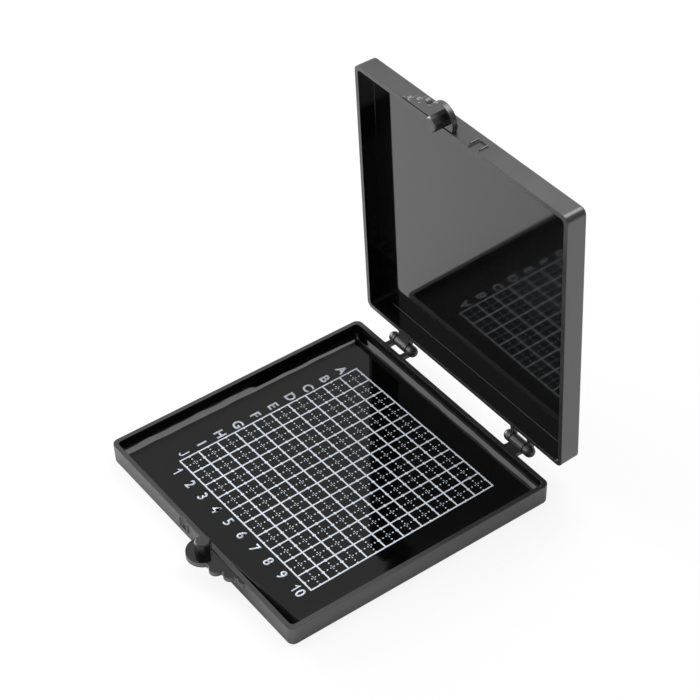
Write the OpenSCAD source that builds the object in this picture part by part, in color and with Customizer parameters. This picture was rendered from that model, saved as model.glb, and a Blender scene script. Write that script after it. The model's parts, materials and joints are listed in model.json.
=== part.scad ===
// Shallow hinged carrier box for small chips, with a clear gel membrane over a
// printed ten by ten locating grid. Base and lid are the same moulding: the lid
// is a second shell turned over, so each half carries one fork, one barrel, one
// latch peg and one peg groove, and the halves engage each other on both sides.
//
// Millimetres. X runs along the latch wall, Y towards the hinge, Z up.
// The origin is the middle of the base's underside.

/* [Shell] */
// Outside width of a shell, along the hinge
shell_w = 54; // [50:0.5:60]
// Outside depth of a shell, from latch wall to hinge wall
shell_d = 53; // [49:0.5:59]
// Height of one shell, from its outer face to its rim
shell_h = 4.0; // [3.8:0.1:6]
// Thickness of the side walls
wall_t = 0.86; // [0.8:0.02:1.2]
// Thickness of the flat floor of a shell
floor_t = 0.8; // [0.6:0.1:1]
// Outside radius of the upright corners
corner_r = 1.3; // [1:0.1:2]
// Gap left between the two rims when the box is shut
rim_gap = 0.1; // [0.06:0.02:0.2]

/* [Hinge] */
// Distance from the hinge wall's outer face to the hinge axis
hinge_out = 2.2; // [1.9:0.1:3]
// Distance of each hinge's middle from the box's middle
hinge_x = 16.3; // [10:0.1:20]
// Radius of the barrel and of the fork's ears
knuckle_r = 1.05; // [0.9:0.05:1.3]
// Length of the barrel
barrel_len = 3.2; // [2.4:0.1:4]
// Gap between a barrel end and the ear beside it
knuckle_gap = 0.15; // [0.1:0.05:0.3]
// Length of the straight part of an ear, before its domed end
ear_len = 0.85; // [0.6:0.05:1.2]
// Radius of the snap pin on the inner face of each ear
pin_r = 0.45; // [0.3:0.05:0.55]
// Length of the snap pin
pin_len = 0.75; // [0.4:0.05:1]
// Radial clearance between snap pin and barrel hole
pin_clear = 0.05; // [0.02:0.01:0.1]
// Angle by which the lid stands open, measured from shut
open_angle = 88.5; // [0:0.5:180]

/* [Latch] */
// Distance of the peg from the box's middle, along the latch wall
peg_x = 3.9; // [3.5:0.1:6]
// Distance of the peg's axis outside the latch wall
peg_out = 1.13; // [1:0.01:1.3]
// Radius across the corners of the eight-sided peg
peg_r = 1.42; // [1.2:0.02:1.5]
// Height of the peg above the rim
peg_rise = 1.95; // [1.4:0.05:2.4]
// Radius of the round thumb tab that carries the peg
tab_r = 3.0; // [2.4:0.1:3.4]
// Thickness of the thumb tab
tab_t = 1.1; // [0.8:0.1:1.6]
// Distance of the tab's face below the rim
tab_drop = 0.15; // [0.1:0.05:0.4]
// Clearance between a peg and the groove of the other shell
peg_clear = 0.12; // [0.08:0.02:0.2]
// How far the peg groove runs down from the rim
groove_h = 2.5; // [2.1:0.1:3]
// Where the ribbed grip web beside the tab runs out into the wall
web_end_x = 13.6; // [12:0.1:15]
// How far the grip web stands out where it meets the tab
web_out = 2.9; // [2:0.1:3.2]
// Number of grip ribs along the web
rib_count = 3; // [2:1:3]
// Radius of a grip rib
rib_r = 1.2; // [0.9:0.05:1.4]
// Distance of the first grip rib from the peg
rib_start = 4.4; // [4.2:0.1:4.8]
// Distance from one grip rib to the next
rib_step = 2.45; // [2.2:0.05:2.6]
// How far the first grip rib stands out from the latch wall
rib_out = 2.8; // [2.4:0.1:3]
// How much less each further rib stands out
rib_drop = 1.15; // [1:0.05:1.2]
// Radius of the two small ribs beside the peg groove
guide_r = 0.24; // [0.16:0.02:0.24]
// Distance of each small rib from the middle of the groove
guide_half = 1.18; // [1.18:0.02:1.4]
// Distance of the small ribs' upper ends below the rim
guide_top = 0.7; // [0.5:0.1:1]

/* [Membrane and grid] */
// Thickness of the printed film under the gel
film_t = 0.1; // [0.05:0.01:0.2]
// Thickness of the printed ink
ink_t = 0.02; // [0.02:0.01:0.04]
// Thickness of the gel over the print
gel_t = 0.28; // [0.2:0.02:0.5]
// Gap between the film's edge and the walls
film_inset = 0.4; // [0.2:0.1:1]
// Side of one grid cell
cell = 3.81; // [3.5:0.01:4]
// Number of cells along each side of the grid
cells = 10; // [5:1:10]
// Width of a printed grid line
line_w = 0.27; // [0.15:0.01:0.35]
// How far the grid sits to the right of the box's middle
grid_x = 0.26; // [-1:0.02:1]
// How far the grid sits towards the hinge from the box's middle
grid_y = 1.34; // [-1.5:0.02:1.5]
// Slight turn of the laid-in grid against the walls
grid_turn = 0.9; // [-1:0.1:1]

/* [Hidden] */
$fn = 48;
inside_r = corner_r - wall_t + 0.3;
inside_w = shell_w - 2 * wall_t;
inside_d = shell_d - 2 * wall_t;
axis_y = shell_d / 2 + hinge_out;
axis_z = shell_h + rim_gap / 2;
latch_y = -shell_d / 2;
barrel_half = barrel_len / 2;
ear_face = barrel_half + knuckle_gap;
hole_depth = pin_len - knuckle_gap + 0.15;
root = 0.3;
film_z = floor_t;
ink_z = film_z + film_t;
gel_z = ink_z + ink_t;
grid_side = cell * cells;

// A flat plate with rounded upright corners, centred on X and Y
module rounded_plate(w, d, h, r) {
    translate([-w / 2, -d / 2 + r, 0]) cube([w, d - 2 * r, h]);
    translate([-w / 2 + r, -d / 2, 0]) cube([w - 2 * r, d, h]);
    for (sx = [-1, 1], sy = [-1, 1])
        translate([sx * (w / 2 - r), sy * (d / 2 - r), 0]) cylinder(r = r, h = h);
}

// The open tray of a shell: floor and four walls, rim upwards
module tray() {
    difference() {
        rounded_plate(shell_w, shell_d, shell_h, corner_r);
        translate([0, 0, floor_t])
            rounded_plate(inside_w, inside_d, shell_h, inside_r);
    }
}

// A round bar on the hinge axis, from x = start towards +X
module along_axis(start, r, h) {
    translate([start, axis_y, axis_z]) rotate([0, 90, 0]) cylinder(r = r, h = h);
}

// One ear of a fork on the +X side: arm, domed knuckle and snap pin
module ear() {
    arm_z = axis_z - knuckle_r;
    translate([ear_face, shell_d / 2 - root, arm_z])
        cube([ear_len, hinge_out + root, shell_h - arm_z]);
    along_axis(ear_face, knuckle_r, ear_len);
    translate([ear_face + ear_len, axis_y, axis_z])
        rotate([0, 90, 0])
            rotate_extrude()
                intersection() {
                    circle(r = knuckle_r);
                    square([knuckle_r, knuckle_r]);
                }
    along_axis(ear_face - pin_len, pin_r, pin_len + root);
}

// The fork, which holds the other shell's barrel between its two ears
module fork() {
    ear();
    mirror([1, 0, 0]) ear();
}

// The barrel on its tongue, with a blind hole in each end for a snap pin
module barrel() {
    tongue_w = barrel_len - 0.2;
    tongue_z = axis_z - knuckle_r;
    difference() {
        union() {
            along_axis(-barrel_half, knuckle_r, barrel_len);
            translate([-tongue_w / 2, shell_d / 2 - root, tongue_z])
                cube([tongue_w, hinge_out + root, shell_h - tongue_z]);
        }
        along_axis(-barrel_half - 1, pin_r + pin_clear, 1 + hole_depth);
        along_axis(barrel_half - hole_depth, pin_r + pin_clear, 1 + hole_depth);
    }
}

// Outline of the grip web beside the thumb tab, seen from above: a wedge that
// runs out into the wall, with rounded ribs along its sloping edge
module web_outline() {
    span = web_end_x - peg_x;
    polygon([[0, -root], [span, -root], [span, 0], [tab_r / 2, web_out], [0, web_out]]);
    for (i = [0 : rib_count - 1])
        translate([rib_start + i * rib_step, rib_out - i * rib_drop - rib_r])
            circle(r = rib_r);
}

// The thumb tab with its eight-sided peg and grip web
module latch() {
    face = shell_h - tab_drop;
    translate([peg_x, latch_y, face - tab_t]) {
        translate([0, -peg_out, 0]) cylinder(r = tab_r, h = tab_t);
        intersection() {
            mirror([0, 1, 0]) linear_extrude(height = tab_t) web_outline();
            translate([-tab_r, -tab_r - peg_out, 0])
                cube([web_end_x, tab_r + peg_out + wall_t - 0.1, tab_t]);
        }
    }
    translate([peg_x, latch_y - peg_out, face - tab_t / 2])
        rotate([0, 0, 22.5])
            cylinder(r = peg_r, h = tab_t / 2 + tab_drop + peg_rise, $fn = 8);
}

// The groove in the latch wall that the other shell's peg drops into
module peg_groove() {
    groove_r = peg_r + peg_clear;
    translate([-peg_x, latch_y - peg_out, shell_h - groove_h])
        rotate([0, 0, 22.5])
            cylinder(r = groove_r, h = groove_h + 1, $fn = 8);
}

// Two small upright ribs that steer the other shell's peg into the groove
module peg_guides() {
    for (side = [-1, 1])
        translate([side * guide_half - peg_x, latch_y, shell_h - groove_h])
            cylinder(r = guide_r, h = groove_h - guide_top);
}

// One whole moulded shell, outer face down and rim up
module shell() {
    difference() {
        union() {
            tray();
            translate([-hinge_x, 0, 0]) fork();
            translate([hinge_x, 0, 0]) barrel();
            latch_outside_tray();
        }
        peg_groove();
    }
    peg_guides();
}

// The latch without the part of its tab and peg that would reach inside the tray
module latch_outside_tray() {
    difference() {
        latch();
        translate([0, 0, floor_t])
            rounded_plate(inside_w, inside_d, shell_h * 2, inside_r);
    }
}

// The base: one shell as it is moulded
module base_tray() {
    color("#1d1e20") shell();
}

// The lid: the same shell turned over onto the base and swung open about the hinge
module lid() {
    color("#232427")
        translate([0, axis_y, axis_z])
            rotate([-open_angle, 0, 0])
                translate([0, -axis_y, -axis_z + 2 * shell_h + rim_gap])
                    rotate([0, 180, 0])
                        shell();
}

// The printed film that lies on the base's floor
module grid_film() {
    color("#0b0b0d")
        translate([0, 0, film_z])
            rounded_plate(inside_w - 2 * film_inset, inside_d - 2 * film_inset, film_t, inside_r);
}

// The ink: the ten by ten grid of locating lines
module grid_print() {
    color("white")
        translate([grid_x, grid_y, ink_z])
            rotate([0, 0, grid_turn])
                for (i = [0 : cells]) {
                    at = i * cell - grid_side / 2;
                    translate([at - line_w / 2, -grid_side / 2 - line_w / 2, 0])
                        cube([line_w, grid_side + line_w, ink_t]);
                    translate([-grid_side / 2 - line_w / 2, at - line_w / 2, 0])
                        cube([grid_side + line_w, line_w, ink_t]);
                }
}

// The clear gel, cast over the print and level across the tray
module gel_membrane() {
    gel_gap = 0.02;
    color([0.75, 0.8, 0.85, 0.3])
        translate([0, 0, gel_z])
            rounded_plate(inside_w - gel_gap, inside_d - gel_gap, gel_t, inside_r);
}

base_tray();
lid();
grid_film();
grid_print();
gel_membrane();
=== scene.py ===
"""Shallow hinged carrier box of black plastic, with a clear gel membrane over a printed grid.

The lid is the same moulding as the base, turned over. Shapes are drawn in millimetres in the
shell's own frame, which is the box's frame with the rim up, and scaled to metres at the end.
"""

import json
import math

import bmesh
import bpy
from mathutils import Matrix, Vector


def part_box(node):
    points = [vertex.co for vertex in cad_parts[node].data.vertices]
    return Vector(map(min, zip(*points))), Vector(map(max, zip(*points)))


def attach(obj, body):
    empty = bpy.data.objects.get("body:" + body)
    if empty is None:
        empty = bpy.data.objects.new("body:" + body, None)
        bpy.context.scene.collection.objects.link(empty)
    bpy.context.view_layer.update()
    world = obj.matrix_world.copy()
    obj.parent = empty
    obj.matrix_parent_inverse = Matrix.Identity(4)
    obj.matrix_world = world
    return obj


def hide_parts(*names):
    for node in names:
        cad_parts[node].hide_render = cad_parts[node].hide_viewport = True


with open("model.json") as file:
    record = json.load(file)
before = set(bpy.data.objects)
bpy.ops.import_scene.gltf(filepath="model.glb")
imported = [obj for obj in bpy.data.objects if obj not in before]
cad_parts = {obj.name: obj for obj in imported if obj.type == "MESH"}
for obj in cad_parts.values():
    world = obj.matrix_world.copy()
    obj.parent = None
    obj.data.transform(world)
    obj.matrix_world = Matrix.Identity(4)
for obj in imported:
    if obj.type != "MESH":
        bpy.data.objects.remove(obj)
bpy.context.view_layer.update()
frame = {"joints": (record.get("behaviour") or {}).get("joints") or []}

MM = 0.001
JOINT = frame["joints"][0]


def node_box(node):
    """Lowest and highest corner of a CAD node, in millimetres."""
    low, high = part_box(node)
    return low / MM, high / MM


# ---------------------------------------------------------------- sizes, in millimetres

BASE_LOW, BASE_HIGH = node_box("base_tray")
FILM_LOW, FILM_HIGH = node_box("grid_film")
INK_LOW, INK_HIGH = node_box("grid_print")
GEL_LOW, GEL_HIGH = node_box("gel_membrane")

AXIS_Y = JOINT["pos_m"][1] / MM
AXIS_Z = JOINT["pos_m"][2] / MM
OPEN_ANGLE = -JOINT["range_deg"][0]

RIM_GAP = 0.1
SHELL_H = AXIS_Z - RIM_GAP / 2
SHELL_W = BASE_HIGH.x - BASE_LOW.x
GEL_GAP = 0.01
INSIDE_W = GEL_HIGH.x - GEL_LOW.x + 2 * GEL_GAP
INSIDE_D = GEL_HIGH.y - GEL_LOW.y + 2 * GEL_GAP
WALL = (SHELL_W - INSIDE_W) / 2
SHELL_D = INSIDE_D + 2 * WALL
FLOOR_T = FILM_LOW.z
CORNER_R = 1.3
INSIDE_R = 0.74
LATCH_Y = -SHELL_D / 2
HINGE_Y = SHELL_D / 2

# Roundings of the moulding
BOTTOM_ROUND = 0.42
RIM_ROUND = 0.08
RIM_INNER_ROUND = 0.03
FLOOR_ROUND = 0.06
EDGE_ROUND = 0.09
DRAFT = 0.06

# Hinge
HINGE_X = 16.3
KNUCKLE_R = BASE_HIGH.y - AXIS_Y
BARREL_LEN = 3.2
KNUCKLE_GAP = 0.15
EAR_LEN = 0.85
PIN_R = 0.45
PIN_LEN = 0.75
HOLE_R = 0.5
TONGUE_W = 3.0
ROOT = 0.3
ROOT_FILLET = 0.3

# Latch
PEG_X = 3.9
TAB_R = 3.0
PEG_OUT = LATCH_Y - BASE_LOW.y - TAB_R
PEG_R = 1.42
PEG_RISE = 1.95
PEG_CHAMFER = 0.2
TAB_T = 1.1
TAB_DROP = 0.15
PEG_CLEAR = 0.12
GROOVE_H = 2.5
WEB_END_X = 13.6
WEB_OUT = 2.9
RIB_COUNT = 3
RIB_R = 1.2
RIB_START = 4.4
RIB_STEP = 2.45
RIB_OUT = 2.8
RIB_LESS = 1.15
GUIDE_R = 0.24
GUIDE_HALF = 1.18
GUIDE_TOP = 0.7

# Printed grid
CELL = 3.81
CELLS = 10
LINE_W = 0.27
GRID_TURN = math.radians(0.9)
DOT_R = 0.115
TICK_T = 0.16
TICK_W = 0.42
CAP_H = 1.85
FIGURE_STEP = 1.25

# Places of the labels against the grid, in cells
LETTER_OUT = 0.35
LETTER_UP = 0.43
FIGURE_IN = 0.36
FIGURE_DOWN = 0.44

# Gel, and how it climbs the side, hinge and latch walls
GEL_IOR = 1.41
GEL_EDGE = 4.0
SIDE_RISE = 0.65
SIDE_FALL = 0.9
HINGE_REACH = 0.75
HINGE_SLOPE = 1.0
LATCH_REACH = 0.95
LATCH_REACH_LEAST = 0.8
LATCH_REACH_GAIN = 0.073
LATCH_SLOPE = 0.6
CLIMB_FOOT = 0.2


# ---------------------------------------------------------------- shape helpers

def arc(cx, cy, radius, start, end, steps):
    """Points along an arc; angles in degrees."""
    angles = [math.radians(start + (end - start) * i / steps) for i in range(steps + 1)]
    return [(cx + radius * math.cos(a), cy + radius * math.sin(a)) for a in angles]


def rounded_rectangle(w, d, r, steps=8):
    """Outline of a rounded rectangle centred on the origin, anticlockwise."""
    points = []
    for quarter, (sx, sy) in enumerate([(1, 1), (-1, 1), (-1, -1), (1, -1)]):
        start = 90 * quarter
        points += arc(sx * (w / 2 - r), sy * (d / 2 - r), r, start, start + 90, steps)
    return points


def polygon(cx, cy, radius, sides, turn=0.0):
    """Outline of a regular polygon, anticlockwise; turn in degrees."""
    return arc(cx, cy, radius, turn, turn + 360 * (sides - 1) / sides, sides - 1)


def inset(outline, distance):
    """The outline moved inwards by distance, with its corners kept as mitres."""
    moved = []
    count = len(outline)
    for i, point in enumerate(outline):
        here = Vector(point)
        before = (here - Vector(outline[i - 1])).normalized()
        after = (Vector(outline[(i + 1) % count]) - here).normalized()
        normal = Vector((-before.y, before.x)) + Vector((-after.y, after.x))
        scale = 2 * distance / max(normal.length_squared, 0.5)
        moved.append(tuple(here + normal * scale))
    return moved


def lift(outline, z):
    """The flat outline as 3-D points at height z."""
    return [(x, y, z) for x, y in outline]


def new_object(name, bm):
    """An object with the bmesh's faces, their normals pointing outwards."""
    bmesh.ops.recalc_face_normals(bm, faces=bm.faces)
    mesh = bpy.data.meshes.new(name)
    bm.to_mesh(mesh)
    bm.free()
    piece = bpy.data.objects.new(name, mesh)
    bpy.context.scene.collection.objects.link(piece)
    return piece


def skin(bm, rings):
    """Faces between rings of equal length, with a cap on the first and last ring."""
    levels = [[bm.verts.new(point) for point in ring] for ring in rings]
    for low, high in zip(levels, levels[1:]):
        for i in range(len(low)):
            bm.faces.new((low[i - 1], low[i], high[i], high[i - 1]))
    bm.faces.new(list(reversed(levels[0])))
    bm.faces.new(levels[-1])


def loft(name, rings):
    bm = bmesh.new()
    skin(bm, rings)
    return new_object(name, bm)


def prism(name, outline, z0, z1, low_round=EDGE_ROUND, high_round=EDGE_ROUND, steps=3):
    """An upright prism with rounded edges round its two faces. One step is a chamfer."""
    rings = []
    for i in range(steps + 1):
        a = math.pi / 2 * i / steps
        rings.append(lift(inset(outline, low_round * (1 - math.sin(a))),
                          z0 + low_round * (1 - math.cos(a))))
    for i in range(steps, -1, -1):
        a = math.pi / 2 * i / steps
        rings.append(lift(inset(outline, high_round * (1 - math.sin(a))),
                          z1 - high_round * (1 - math.cos(a))))
    return loft(name, rings)


def revolve(name, profile, steps=40):
    """A solid turned about the hinge axis. The profile runs from axis to axis as (x, radius)."""
    bm = bmesh.new()
    turns = [2 * math.pi * i / steps for i in range(steps)]
    rings = [[bm.verts.new((x, AXIS_Y + r * math.cos(t), AXIS_Z + r * math.sin(t)))
              for t in turns] for x, r in profile[1:-1]]
    for low, high in zip(rings, rings[1:]):
        for i in range(steps):
            bm.faces.new((low[i - 1], low[i], high[i], high[i - 1]))
    for (x, _), ring in ((profile[0], rings[0]), (profile[-1], rings[-1])):
        tip = bm.verts.new((x, AXIS_Y, AXIS_Z))
        for i in range(steps):
            bm.faces.new((ring[i - 1], ring[i], tip))
    return new_object(name, bm)


def settle(piece):
    """Makes the piece's modifiers permanent."""
    depsgraph = bpy.context.evaluated_depsgraph_get()
    mesh = bpy.data.meshes.new_from_object(piece.evaluated_get(depsgraph))
    piece.modifiers.clear()
    piece.data = mesh


def combine(piece, tools, operation="UNION"):
    """Adds the tools to the piece, or cuts them from it, one by one."""
    for tool in tools:
        change = piece.modifiers.new("combine", "BOOLEAN")
        change.operation = operation
        change.solver = "EXACT"
        change.object = tool
        settle(piece)
        bpy.data.objects.remove(tool)
    return piece


def shift(piece, x=0.0, y=0.0, z=0.0):
    piece.data.transform(Matrix.Translation((x, y, z)))
    return piece


def flip_x(piece):
    """The mirror image of the piece across the middle plane."""
    piece.data.transform(Matrix.Scale(-1, 4, (1, 0, 0)))
    piece.data.flip_normals()
    return piece


# ---------------------------------------------------------------- the moulded shell

def tray():
    """Floor and four walls in one skin: underside, outer wall, rim, inner wall and floor."""
    rings = []

    def outer(inwards, z):
        rings.append(lift(rounded_rectangle(SHELL_W - 2 * inwards, SHELL_D - 2 * inwards,
                                            CORNER_R - inwards), z))

    def inner(inwards, z):
        rings.append(lift(rounded_rectangle(INSIDE_W - 2 * inwards, INSIDE_D - 2 * inwards,
                                            INSIDE_R - inwards), z))

    steps = 6
    for i in range(steps + 1):
        a = math.pi / 2 * i / steps
        outer(DRAFT + BOTTOM_ROUND * (1 - math.sin(a)), BOTTOM_ROUND * (1 - math.cos(a)))
    steps = 4
    for i in range(steps + 1):
        a = math.pi / 2 * i / steps
        outer(RIM_ROUND * (1 - math.cos(a)), SHELL_H - RIM_ROUND * (1 - math.sin(a)))
    for i in range(steps, -1, -1):
        a = math.pi / 2 * i / steps
        inner(-RIM_INNER_ROUND * (1 - math.cos(a)),
              SHELL_H - RIM_INNER_ROUND * (1 - math.sin(a)))
    for i in range(steps + 1):
        a = math.pi / 2 * i / steps
        inner(FLOOR_ROUND * (1 - math.cos(a)), FLOOR_T + FLOOR_ROUND * (1 - math.sin(a)))
    return loft("tray", rings)


def arm(width, name):
    """A bar from the hinge wall to the hinge axis, flared where it leaves the wall."""
    half = width / 2
    y0 = HINGE_Y - ROOT
    y1 = HINGE_Y + ROOT_FILLET
    outline = [(-half - ROOT_FILLET, y0), (half + ROOT_FILLET, y0)]
    outline += arc(half + ROOT_FILLET, y1, ROOT_FILLET, 270, 180, 5)
    outline += [(half, AXIS_Y), (-half, AXIS_Y)]
    outline += arc(-half - ROOT_FILLET, y1, ROOT_FILLET, 0, -90, 5)
    return prism(name, outline, AXIS_Z - KNUCKLE_R, SHELL_H - 0.03, EDGE_ROUND / 2, EDGE_ROUND)


def ear():
    """Ear of a fork on its +X side: arm, domed knuckle and snap pin."""
    face = BARREL_LEN / 2 + KNUCKLE_GAP
    end = face + EAR_LEN
    bevel = 0.08
    profile = [(face - PIN_LEN, 0), (face - PIN_LEN, PIN_R - bevel), (face - PIN_LEN + bevel, PIN_R),
               (face, PIN_R), (face, KNUCKLE_R - bevel), (face + bevel, KNUCKLE_R)]
    profile += arc(end, 0, KNUCKLE_R, 90, 0, 10)
    knuckle = revolve("knuckle", profile)
    bar = shift(arm(EAR_LEN, "arm"), x=face + EAR_LEN / 2)
    return combine(bar, [knuckle])


def fork():
    return [shift(ear(), x=-HINGE_X), shift(flip_x(ear()), x=-HINGE_X)]


def barrel():
    """The barrel on its tongue, with a blind hole in each end."""
    half = BARREL_LEN / 2
    depth = half - PIN_LEN
    bevel = 0.07
    right = [(half - bevel, KNUCKLE_R), (half, KNUCKLE_R - bevel), (half, 0)]
    left = [(-x, r) for x, r in reversed(right)]
    tongue = combine(arm(TONGUE_W, "tongue"), [revolve("barrel", left + right)])
    bore = [(depth, 0), (depth, HOLE_R), (half + 0.1, HOLE_R), (half + 0.1, 0)]
    bores = [revolve("bore", bore), flip_x(revolve("bore", bore))]
    return [shift(combine(tongue, bores, "DIFFERENCE"), x=HINGE_X)]


def web_outline():
    """Outline of the grip web beside the thumb tab, without its ribs."""
    span = WEB_END_X - PEG_X
    return [(0, 1), (0, -WEB_OUT), (TAB_R / 2, -WEB_OUT), (span, 0), (span, 1)]


def latch():
    """Thumb tab with its eight-sided peg and its ribbed grip web, clear of the tray's inside."""
    face = SHELL_H - TAB_DROP
    low = face - TAB_T
    tab = prism("tab", polygon(0, -PEG_OUT, TAB_R, 64), low, face)
    ribs = []
    for i in range(RIB_COUNT):
        out = RIB_OUT - i * RIB_LESS - RIB_R
        outline = polygon(RIB_START + i * RIB_STEP, -out, RIB_R, 40)
        ribs.append(prism("rib", outline, low + 0.02, face - 0.02))
    web = prism("web", web_outline(), low + 0.01, face - 0.01)
    peg = prism("peg", polygon(0, -PEG_OUT, PEG_R, 8, 22.5), face - TAB_T / 2,
                SHELL_H + PEG_RISE, EDGE_ROUND, PEG_CHAMFER, 1)
    left = -2 * TAB_R
    right = 5 * TAB_R
    start = WALL - 0.3
    room = [(left, start), (right, start), (right, SHELL_W), (left, SHELL_W)]
    inside = prism("inside", room, 0, 2 * SHELL_H)
    tab = combine(tab, [web] + ribs)
    tab = combine(tab, [inside], "DIFFERENCE")
    return shift(combine(tab, [peg]), x=PEG_X, y=LATCH_Y)


def peg_groove():
    groove_r = PEG_R + PEG_CLEAR
    outline = polygon(-PEG_X, LATCH_Y - PEG_OUT, groove_r, 8, 22.5)
    return prism("groove", outline, SHELL_H - GROOVE_H, SHELL_H + 1)


def peg_guides():
    """Two small upright ribs that steer the other shell's peg into the groove."""
    guides = []
    for side in (-1, 1):
        outline = polygon(side * GUIDE_HALF - PEG_X, LATCH_Y + DRAFT / 2, GUIDE_R, 16)
        guides.append(prism("guide", outline, SHELL_H - GROOVE_H, SHELL_H - GUIDE_TOP))
    return guides


def shell(name):
    """One whole moulded shell in millimetres, outer face down and rim up."""
    body = tray()
    body.name = name
    combine(body, fork() + barrel() + [latch()])
    combine(body, [peg_groove()], "DIFFERENCE")
    return combine(body, peg_guides())


# ---------------------------------------------------------------- materials

def new_material(name):
    """A material with a Principled shader; returns it with its nodes, links and shader."""
    material = bpy.data.materials.new(name)
    material.use_nodes = True
    nodes = material.node_tree.nodes
    links = material.node_tree.links
    shader = nodes["Principled BSDF"]
    return material, nodes, links, shader


def noise(nodes, links, scale, detail=3.0, roughness=0.5):
    """Noise at a scale in cycles per metre, in the piece's own space."""
    place = nodes.new("ShaderNodeTexCoord")
    texture = nodes.new("ShaderNodeTexNoise")
    texture.inputs["Scale"].default_value = scale
    texture.inputs["Detail"].default_value = detail
    texture.inputs["Roughness"].default_value = roughness
    links.new(place.outputs["Object"], texture.inputs["Vector"])
    return texture.outputs["Fac"]


def ranged(nodes, links, value, low, high, at_low=0.3, at_high=0.7):
    """The value stretched so that at_low..at_high becomes low..high."""
    stretch = nodes.new("ShaderNodeMapRange")
    stretch.inputs["From Min"].default_value = at_low
    stretch.inputs["From Max"].default_value = at_high
    stretch.inputs["To Min"].default_value = low
    stretch.inputs["To Max"].default_value = high
    links.new(value, stretch.inputs["Value"])
    return stretch.outputs["Result"]


def tint(nodes, links, value, dark, light):
    """A colour between dark and light, by value from 0.3 to 0.7."""
    ramp = nodes.new("ShaderNodeValToRGB")
    ramp.color_ramp.elements[0].position = 0.3
    ramp.color_ramp.elements[0].color = (*dark, 1)
    ramp.color_ramp.elements[1].position = 0.7
    ramp.color_ramp.elements[1].color = (*light, 1)
    links.new(value, ramp.inputs["Fac"])
    return ramp.outputs["Color"]


def bump(nodes, links, shader, height, distance, strength=1.0):
    """A bump of that height in metres on the shader's normal."""
    node = nodes.new("ShaderNodeBump")
    node.inputs["Distance"].default_value = distance
    node.inputs["Strength"].default_value = strength
    links.new(height, node.inputs["Height"])
    links.new(node.outputs["Normal"], shader.inputs["Normal"])


def satin_plastic(name, ior, smoothest, roughest):
    """Carbon-filled black plastic from a finely textured mould."""
    material, nodes, links, shader = new_material(name)
    grain = noise(nodes, links, 5200, 2.0)
    clouds = noise(nodes, links, 160, 4.0)
    shader.inputs["IOR"].default_value = ior
    links.new(tint(nodes, links, clouds, (0.009, 0.009, 0.0095), (0.015, 0.015, 0.0145)),
              shader.inputs["Base Color"])
    links.new(ranged(nodes, links, clouds, smoothest, roughest), shader.inputs["Roughness"])
    bump(nodes, links, shader, grain, 0.000006, 0.6)
    return material


def polished_plastic(name):
    """The same plastic from the polished core of the mould, with faint haze."""
    material, nodes, links, shader = new_material(name)
    haze = noise(nodes, links, 90, 5.0, 0.6)
    ripple = noise(nodes, links, 45, 2.0)
    shader.inputs["IOR"].default_value = 1.62
    links.new(tint(nodes, links, haze, (0.003, 0.003, 0.0029), (0.0046, 0.0046, 0.0044)),
              shader.inputs["Base Color"])
    links.new(ranged(nodes, links, haze, 0.042, 0.066), shader.inputs["Roughness"])
    bump(nodes, links, shader, ripple, 0.000004, 0.3)
    return material


def gel_on_black(name, smoothest, roughest):
    """Black film or wall as it looks through the gel that wets it."""
    material, nodes, links, shader = new_material(name)
    shade = noise(nodes, links, 220, 4.0)
    swirl = noise(nodes, links, 60, 3.0)
    shader.inputs["IOR"].default_value = GEL_IOR
    links.new(tint(nodes, links, shade, (0.0012, 0.0012, 0.0014), (0.0026, 0.0026, 0.0028)),
              shader.inputs["Base Color"])
    links.new(ranged(nodes, links, swirl, smoothest, roughest), shader.inputs["Roughness"])
    bump(nodes, links, shader, swirl, 0.00001, 0.15)
    return material


def edge_gel_material():
    """The gel's raised edge over black: glossy from above, and clear from below."""
    material = gel_on_black("clear_gel_edge", 0.04, 0.07)
    nodes = material.node_tree.nodes
    links = material.node_tree.links
    clear = nodes.new("ShaderNodeBsdfTransparent")
    side = nodes.new("ShaderNodeNewGeometry")
    mix = nodes.new("ShaderNodeMixShader")
    links.new(side.outputs["Backfacing"], mix.inputs["Fac"])
    links.new(nodes["Principled BSDF"].outputs["BSDF"], mix.inputs[1])
    links.new(clear.outputs["BSDF"], mix.inputs[2])
    links.new(mix.outputs["Shader"], nodes["Material Output"].inputs["Surface"])
    return material


def ink_material():
    """White screen-printed ink, a little uneven, with the gel's shine over it."""
    material, nodes, links, shader = new_material("white_ink")
    mottle = noise(nodes, links, 1400, 3.0)
    shader.inputs["IOR"].default_value = GEL_IOR
    links.new(tint(nodes, links, mottle, (0.7, 0.75, 0.83), (0.78, 0.83, 0.91)),
              shader.inputs["Base Color"])
    links.new(ranged(nodes, links, mottle, 0.02, 0.05), shader.inputs["Roughness"])
    return material


def level_gel_material():
    """The level part of the clear gel, whose shine is on the film and ink that it wets."""
    material, nodes, links, shader = new_material("clear_gel_level")
    swirl = noise(nodes, links, 60, 3.0)
    clear = nodes.new("ShaderNodeBsdfTransparent")
    links.new(tint(nodes, links, swirl, (0.975, 0.985, 0.99), (1, 1, 1)), clear.inputs["Color"])
    links.new(clear.outputs["BSDF"], nodes["Material Output"].inputs["Surface"])
    nodes.remove(shader)
    return material


# ---------------------------------------------------------------- finishing pieces

def smooth(piece, angle=35.0):
    """Smooth shading with sharp edges kept, and flat faces left truly flat."""
    for face in piece.data.polygons:
        face.use_smooth = True
    piece.data.set_sharp_from_angle(angle=math.radians(angle))
    weigh = piece.modifiers.new("weigh", "WEIGHTED_NORMAL")
    weigh.keep_sharp = True
    weigh.weight = 100
    settle(piece)


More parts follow.
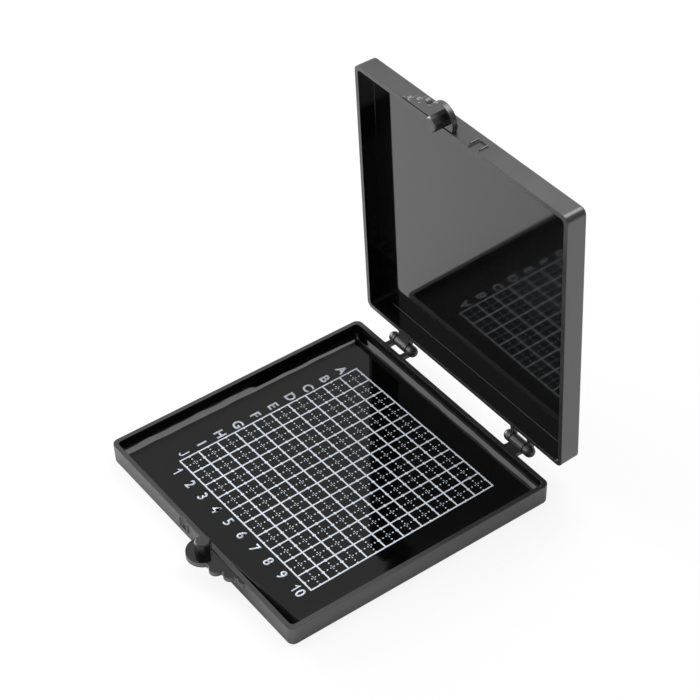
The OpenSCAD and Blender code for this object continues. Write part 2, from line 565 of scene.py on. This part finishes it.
def finish_shell(piece, finishes):
    """Satin outside, polished inside, and between the two on rims, pegs and knuckles."""
    mesh = piece.data
    mesh.materials.clear()
    for finish in finishes:
        mesh.materials.append(finish)
    reach_x = SHELL_W / 2 - WALL / 2
    reach_y = SHELL_D / 2 - WALL / 2
    for face in mesh.polygons:
        x, y, z = face.center
        inner = abs(x) < reach_x and abs(y) < reach_y and z > FLOOR_T / 2
        if z > SHELL_H - RIM_ROUND or y > HINGE_Y + ROOT:
            face.material_index = 2
        elif inner or z > SHELL_H - TAB_DROP - EDGE_ROUND:
            face.material_index = 1
        else:
            face.material_index = 0
    smooth(piece)


def add_piece(piece, body, node):
    """Scales a finished piece to metres, puts it under its body, and hides the CAD node that it
    stands for.
    """
    piece.data.transform(Matrix.Scale(MM, 4))
    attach(piece, body)
    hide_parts(node)
    return piece


def lid_matrix():
    """Turns a shell over onto the base, then swings it open about the hinge axis."""
    turned = Matrix.Rotation(math.pi, 4, "Y")
    closed = Matrix.Translation((0, -AXIS_Y, 2 * SHELL_H + RIM_GAP - AXIS_Z))
    swung = Matrix.Rotation(-math.radians(OPEN_ANGLE), 4, "X")
    return Matrix.Translation((0, AXIS_Y, AXIS_Z)) @ swung @ closed @ turned


def make_shells():
    base = shell("base_shell")
    finishes = [satin_plastic("moulded_black", 1.95, 0.34, 0.42), polished_plastic("polished_black"),
                satin_plastic("edge_black", 1.65, 0.32, 0.4)]
    finish_shell(base, finishes)
    lid = bpy.data.objects.new("lid_shell", base.data.copy())
    bpy.context.scene.collection.objects.link(lid)
    lid.data.transform(lid_matrix())
    add_piece(base, "base", "base_tray")
    add_piece(lid, "lid", "lid")


# ---------------------------------------------------------------- film, print and gel

def make_film():
    """The plate of black film that carries the print."""
    w = FILM_HIGH.x - FILM_LOW.x
    d = FILM_HIGH.y - FILM_LOW.y
    film = prism("grid_film_sheet", rounded_rectangle(w, d, INSIDE_R), FILM_LOW.z + 0.001,
                 FILM_HIGH.z, 0.005, 0.01)
    film.data.materials.append(gel_on_black("black_film", 0.015, 0.04))
    add_piece(film, "base", "grid_film")


def slab(bm, outline, z0, z1):
    """A thin flat slab of ink."""
    skin(bm, [lift(outline, z0), lift(outline, z1)])


def grid_lines(bm, z0, z1):
    """Lattice of lines: unbroken ones across, and short ones between them."""
    side = CELL * CELLS
    half = LINE_W / 2
    for i in range(CELLS + 1):
        x = i * CELL - side / 2
        slab(bm, [(x - half, -side / 2 - half), (x + half, -side / 2 - half),
                  (x + half, side / 2 + half), (x - half, side / 2 + half)], z0, z1)
        for j in range(CELLS):
            x0 = j * CELL - side / 2 + half
            x1 = x0 + CELL - LINE_W
            slab(bm, [(x0, x - half), (x1, x - half), (x1, x + half), (x0, x + half)], z0, z1)


def cell_dots(bm, cx, cy, z0, z1):
    """Dotted centre lines of one cell, both ways, with a swelling where they meet its sides."""
    for share, radius in ((0, DOT_R * 0.6), (0.095, DOT_R), (0.275, DOT_R * 1.25)):
        reach = share * CELL
        places = [(0, 0)] if share == 0 else [(reach, 0), (0, reach), (-reach, 0), (0, -reach)]
        for dx, dy in places:
            slab(bm, polygon(cx + dx, cy + dy, radius, 8), z0, z1)
    near = CELL / 2 - LINE_W / 2
    for turn in range(4):
        across = Matrix.Rotation(turn * math.pi / 2, 2)
        corners = [(near - TICK_T, -TICK_W / 4), (near, -TICK_W / 2),
                   (near, TICK_W / 2), (near - TICK_T, TICK_W / 4)]
        moved = [across @ Vector(corner) for corner in corners]
        slab(bm, [(cx + x, cy + y) for x, y in moved], z0, z1)


def drawn_one():
    """Outline of a figure 1 with a flag, cap height 1."""
    foot = [(0.26, 0), (0.385, 0), (0.385, 1), (0.3, 1)]
    flag = [(0.24, 0.89), (0.13, 0.79), (0, 0.72), (0, 0.6), (0.14, 0.66), (0.26, 0.755)]
    return foot + flag


def drawn_j():
    """Outline of a letter J with a full hook, cap height 1."""
    outer = arc(0.27, 0.265, 0.265, 0, -170, 12)
    inner = arc(0.27, 0.265, 0.135, -170, 0, 10)
    return [(0.535, 1)] + outer + inner + [(0.405, 1)]


def font_glyph(text):
    """Flat bmesh of a label in the built-in font, with its origin at the left foot."""
    curve = bpy.data.curves.new("label", "FONT")
    curve.body = text
    curve.offset = 0.028 if text.isalpha() else 0.018
    curve.resolution_u = 4
    holder = bpy.data.objects.new("label", curve)
    bpy.context.scene.collection.objects.link(holder)
    depsgraph = bpy.context.evaluated_depsgraph_get()
    mesh = bpy.data.meshes.new_from_object(holder.evaluated_get(depsgraph))
    bpy.data.objects.remove(holder)
    flat = bmesh.new()
    flat.from_mesh(mesh)
    bpy.data.meshes.remove(mesh)
    bmesh.ops.dissolve_limit(flat, angle_limit=0.01, verts=flat.verts, edges=flat.edges)
    return flat


def label_glyph(text):
    """Flat bmesh of one letter or figure, cap height 1."""
    own = {"1": drawn_one, "J": drawn_j}
    if text in own:
        flat = bmesh.new()
        flat.faces.new([flat.verts.new((x, y, 0)) for x, y in own[text]()])
        return flat
    flat = font_glyph(text)
    capital = font_glyph("H")
    cap = max(v.co.y for v in capital.verts)
    capital.free()
    bmesh.ops.scale(flat, vec=(1 / cap, 1 / cap, 1), verts=flat.verts)
    return flat


def add_label(bm, text, x, y, centred, z0, z1):
    """A letter or figure as raised ink: x is its middle if centred, or else its left edge."""
    flat = label_glyph(text)
    xs = [v.co.x for v in flat.verts]
    start = (min(xs) + max(xs)) / 2 if centred else min(xs)
    solid = bmesh.ops.extrude_face_region(flat, geom=list(flat.faces))
    for item in solid["geom"]:
        if isinstance(item, bmesh.types.BMVert):
            item.co.z = 1
    for vert in flat.verts:
        height = z1 if vert.co.z > 0.5 else z0
        vert.co = (x + (vert.co.x - start) * CAP_H, y + (vert.co.y - 0.5) * CAP_H, height)
    bmesh.ops.recalc_face_normals(flat, faces=flat.faces)
    part = bpy.data.meshes.new("label")
    flat.to_mesh(part)
    flat.free()
    bm.from_mesh(part)
    bpy.data.meshes.remove(part)


def grid_labels(bm, z0, z1):
    """Row letters A to J left of the grid, from the hinge down, and column numbers below it."""
    side = CELL * CELLS
    for i in range(CELLS):
        at = -side / 2 + i * CELL
        letter = chr(ord("A") + CELLS - 1 - i)
        add_label(bm, letter, -side / 2 - LETTER_OUT * CELL, at + LETTER_UP * CELL, True, z0, z1)
        for place, figure in enumerate(str(i + 1)):
            x = at + FIGURE_IN * CELL + place * FIGURE_STEP
            add_label(bm, figure, x, -side / 2 - FIGURE_DOWN * CELL, False, z0, z1)


def make_print():
    """All the ink on the film: lines, dots, letters and numbers."""
    z0 = INK_LOW.z - 0.004
    z1 = INK_HIGH.z
    bm = bmesh.new()
    grid_lines(bm, z0, z1)
    for i in range(CELLS):
        for j in range(CELLS):
            centre = [(k - (CELLS - 1) / 2) * CELL for k in (i, j)]
            cell_dots(bm, centre[0], centre[1], z0, z1)
    grid_labels(bm, z0, z1)
    middle = (INK_LOW + INK_HIGH) / 2
    place = Matrix.Translation((middle.x, middle.y, 0)) @ Matrix.Rotation(GRID_TURN, 4, "Z")
    bmesh.ops.transform(bm, matrix=place, verts=bm.verts)
    ink = new_object("grid_ink", bm)
    ink.data.materials.append(ink_material())
    add_piece(ink, "base", "grid_print")


def climb(distance, reach, slope, soft):
    """Height of an even slope that ends at reach from a wall, with a soft foot."""
    way = reach - distance
    if way > soft:
        return slope * way
    return slope * max(0.0, way + soft) ** 2 / (4 * soft)


def drawn_up(distance, rise, fall):
    """Height of a meniscus that dies away with distance from a wall."""
    left = max(0.0, 1 - (distance / GEL_EDGE) ** 2)
    return rise * math.exp(-distance / fall) * left ** 2


def gel_top(x, y):
    """Height of the gel's surface. It climbs each wall by its own measure, a little unevenly."""
    wave = 1 + 0.05 * math.sin(0.5 * x + 0.7 * y) + 0.03 * math.sin(1.4 * x - 1.1 * y + 1.0)
    side = drawn_up(INSIDE_W / 2 - abs(x), SIDE_RISE * wave, SIDE_FALL)
    hinge = climb(INSIDE_D / 2 - y, HINGE_REACH * wave, HINGE_SLOPE, CLIMB_FOOT)
    latch_reach = max(LATCH_REACH_LEAST, LATCH_REACH + LATCH_REACH_GAIN * x)
    latch = climb(INSIDE_D / 2 + y, latch_reach, LATCH_SLOPE, CLIMB_FOOT)
    return GEL_HIGH.z + math.sqrt(side ** 2 + hinge ** 2 + latch ** 2)


def make_gel():
    """Clear gel cast over the film and against the walls, with its raised edge."""
    overlap = 0.004
    film_edge = (INSIDE_W - (FILM_HIGH.x - FILM_LOW.x)) / 2
    under = [(-overlap, FLOOR_T + FLOOR_ROUND), (FLOOR_ROUND, FLOOR_T - overlap),
             (film_edge - 0.02, FLOOR_T - overlap), (film_edge + 0.02, FILM_HIGH.z - overlap)]

    def outline(inwards):
        w = INSIDE_W - 2 * inwards
        d = INSIDE_D - 2 * inwards
        radius = INSIDE_R + 0.25 * max(inwards, 0)
        return subdivided(rounded_rectangle(w, d, radius, 6), 0.8)

    rings = [lift(outline(inwards), z) for inwards, z in reversed(under)]
    steps = 30
    for i in range(steps + 1):
        inwards = GEL_EDGE * (i / steps) ** 1.3 - overlap
        rings.append([(x, y, gel_top(x, y)) for x, y in outline(inwards)])
    rings.append(lift(outline(GEL_EDGE + 0.2), GEL_HIGH.z))
    gel = loft("gel_sheet", rings)
    gel.data.materials.append(level_gel_material())
    gel.data.materials.append(edge_gel_material())
    for face in gel.data.polygons:
        face.material_index = 1 if len(face.vertices) == 4 else 0
    smooth(gel, 60)
    add_piece(gel, "base", "gel_membrane")


def subdivided(outline, length):
    """The rounded rectangle with its long sides cut into pieces, the same count on each side."""
    points = []
    count = len(outline)
    pieces = int(INSIDE_D / length)
    for i, start in enumerate(outline):
        end = outline[(i + 1) % count]
        is_side = math.dist(start, end) > 4 * length
        for k in range(pieces if is_side else 1):
            t = k / pieces
            points.append((start[0] + (end[0] - start[0]) * t, start[1] + (end[1] - start[1]) * t))
    return points


# ---------------------------------------------------------------- camera, floor and light

def place_camera():
    """A long lens from above the front right corner."""
    azimuth = math.radians(55.155)
    elevation = math.radians(41.1625)
    lean = math.radians(-2.096)
    turn = Matrix.Rotation(azimuth, 3, "Z")
    tilt = Matrix.Rotation(math.pi / 2 - elevation, 3, "X")
    facing = turn @ tilt @ Matrix.Rotation(lean, 3, "Z")
    target = Vector((-4.836, 8.940, 21.233)) * MM
    distance = 348.7 * MM
    data = bpy.data.cameras.new("camera")
    data.lens = 107.24
    data.clip_start = 0.01
    camera = bpy.data.objects.new("camera", data)
    place = target + facing @ Vector((0, 0, distance))
    camera.matrix_world = Matrix.Translation(place) @ facing.to_4x4()
    bpy.context.scene.collection.objects.link(camera)
    bpy.context.scene.camera = camera


def white_share(nodes, links, camera_share, mirror_share):
    """How much plain white shows: one share for camera rays, another in gloss and glass."""
    path = nodes.new("ShaderNodeLightPath")
    mirror = nodes.new("ShaderNodeMath")
    mirror.operation = "MAXIMUM"
    links.new(path.outputs["Is Glossy Ray"], mirror.inputs[0])
    links.new(path.outputs["Is Transmission Ray"], mirror.inputs[1])
    weak = nodes.new("ShaderNodeMath")
    weak.operation = "MULTIPLY"
    weak.inputs[1].default_value = mirror_share
    links.new(mirror.outputs["Value"], weak.inputs[0])
    strong = nodes.new("ShaderNodeMath")
    strong.operation = "MULTIPLY"
    strong.inputs[1].default_value = camera_share
    links.new(path.outputs["Is Camera Ray"], strong.inputs[0])
    both = nodes.new("ShaderNodeMath")
    both.operation = "MAXIMUM"
    links.new(weak.outputs["Value"], both.inputs[0])
    links.new(strong.outputs["Value"], both.inputs[1])
    return both.outputs["Value"]


def make_floor():
    """A pale floor: mostly plain white where it is seen, with the box's soft shadow left in."""
    half = 600
    outline = [(-half, -half), (half, -half), (half, half), (-half, half)]
    bm = bmesh.new()
    bm.faces.new([bm.verts.new((x, y, -0.02)) for x, y in outline])
    floor = new_object("floor", bm)
    floor.data.transform(Matrix.Scale(MM, 4))
    material, nodes, links, shader = new_material("white_floor")
    shader.inputs["Base Color"].default_value = (0.92, 0.92, 0.92, 1)
    shader.inputs["Roughness"].default_value = 0.9
    shader.inputs["Specular IOR Level"].default_value = 0.0
    glow = nodes.new("ShaderNodeEmission")
    mix = nodes.new("ShaderNodeMixShader")
    links.new(white_share(nodes, links, 0.86, 0.1), mix.inputs["Fac"])
    links.new(shader.outputs["BSDF"], mix.inputs[1])
    links.new(glow.outputs["Emission"], mix.inputs[2])
    links.new(mix.outputs["Shader"], nodes["Material Output"].inputs["Surface"])
    floor.data.materials.append(material)


def make_world():
    """A pale studio round the box, brighter low on the left; plain white where it is seen."""
    world = bpy.data.worlds.new("studio")
    bpy.context.scene.world = world
    world.use_nodes = True
    nodes = world.node_tree.nodes
    links = world.node_tree.links
    place = nodes.new("ShaderNodeTexCoord")
    towards = nodes.new("ShaderNodeVectorMath")
    towards.operation = "DOT_PRODUCT"
    towards.inputs[1].default_value = (-1, 0, 0)
    links.new(place.outputs["Generated"], towards.inputs[0])
    level = ranged(nodes, links, towards.outputs["Value"], 0.18, 0.84, -1.0, 1.0)
    path = nodes.new("ShaderNodeLightPath")
    seen = nodes.new("ShaderNodeMix")
    links.new(path.outputs["Is Camera Ray"], seen.inputs["Factor"])
    links.new(level, seen.inputs["A"])
    seen.inputs["B"].default_value = 1.0
    links.new(seen.outputs["Result"], nodes["Background"].inputs["Strength"])
    nodes["Background"].inputs["Color"].default_value = (1, 1, 1, 1)


def area_light(name, direction, distance, size, radiance):
    """A square soft light that shines at the box from a direction, of even radiance."""
    data = bpy.data.lights.new(name, "AREA")
    data.shape = "SQUARE"
    data.size = size
    data.energy = radiance * math.pi * size ** 2
    lamp = bpy.data.objects.new(name, data)
    away = Vector(direction).normalized()
    lamp.location = away * distance + Vector((0, 0, 0.02))
    lamp.rotation_euler = away.to_track_quat("Z", "Y").to_euler()
    bpy.context.scene.collection.objects.link(lamp)


def make_lights():
    area_light("back_overhead", (-0.06, 0.5, 1), 0.6, 0.4, 3.9)
    area_light("left", (-0.92, -0.25, 0.24), 0.45, 0.24, 11.0)
    area_light("front_left", (-0.62, -0.7, 0.32), 0.5, 0.2, 2.8)


make_shells()
make_film()
make_print()
make_gel()
place_camera()
make_floor()
make_world()
make_lights()
bpy.context.scene.view_settings.view_transform = "Standard"
